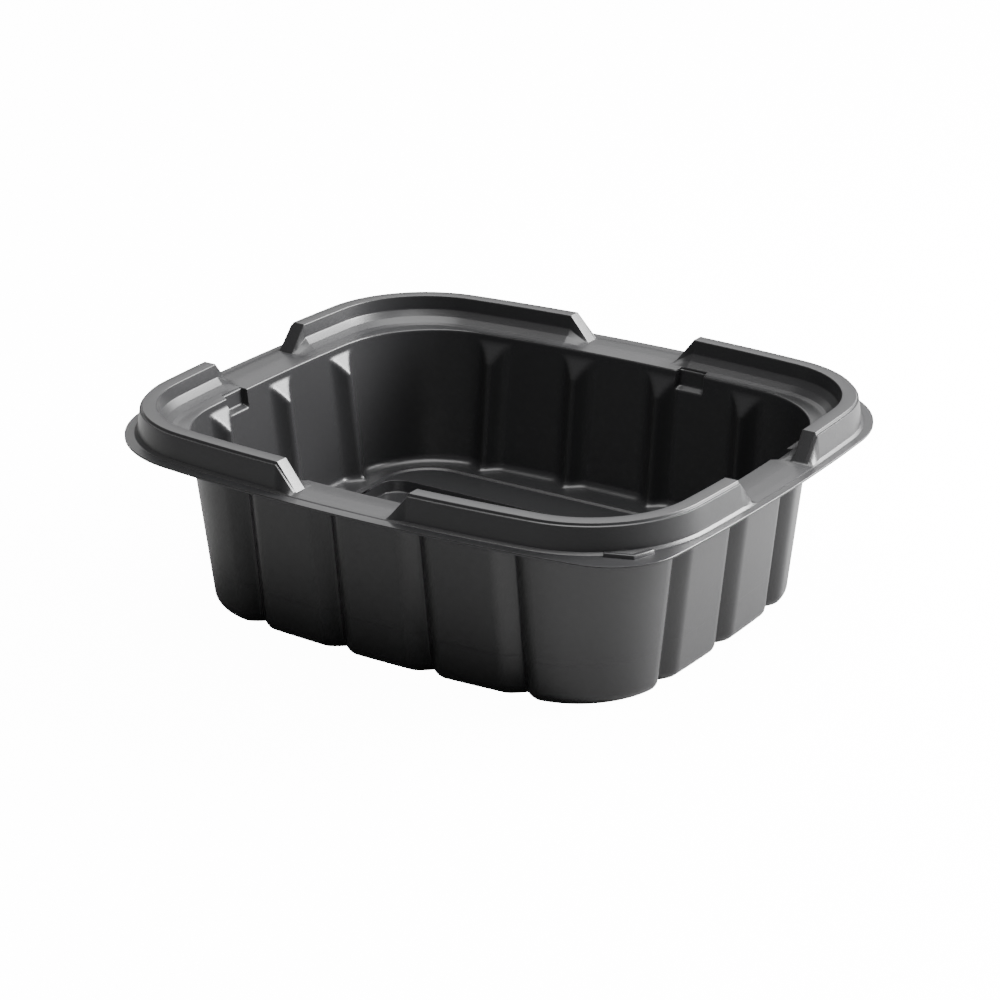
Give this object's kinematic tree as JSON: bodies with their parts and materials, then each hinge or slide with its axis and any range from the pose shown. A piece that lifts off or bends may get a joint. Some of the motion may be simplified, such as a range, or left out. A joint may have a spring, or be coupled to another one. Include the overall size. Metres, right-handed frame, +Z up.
{
  "type": "takeaway meal container",
  "caption": "Open-topped takeaway meal tray in thin black moulded plastic: rounded oblong tub with grooved walls, wide flange, raised bead with gaps, and a lifting tab at one corner.",
  "frame": {"origin": "middle of the base in plan, on the plane that the tray stands on", "axes": "+X along the long sides, +Y along the short sides, +Z up out of the open mouth"},
  "size_m": [0.1878, 0.1632, 0.0605],
  "materials": {
    "black_plastic": "satin black polypropylene"
  },
  "bodies": {
    "root": {"tray": "black_plastic"}
  },
  "joints": []
}
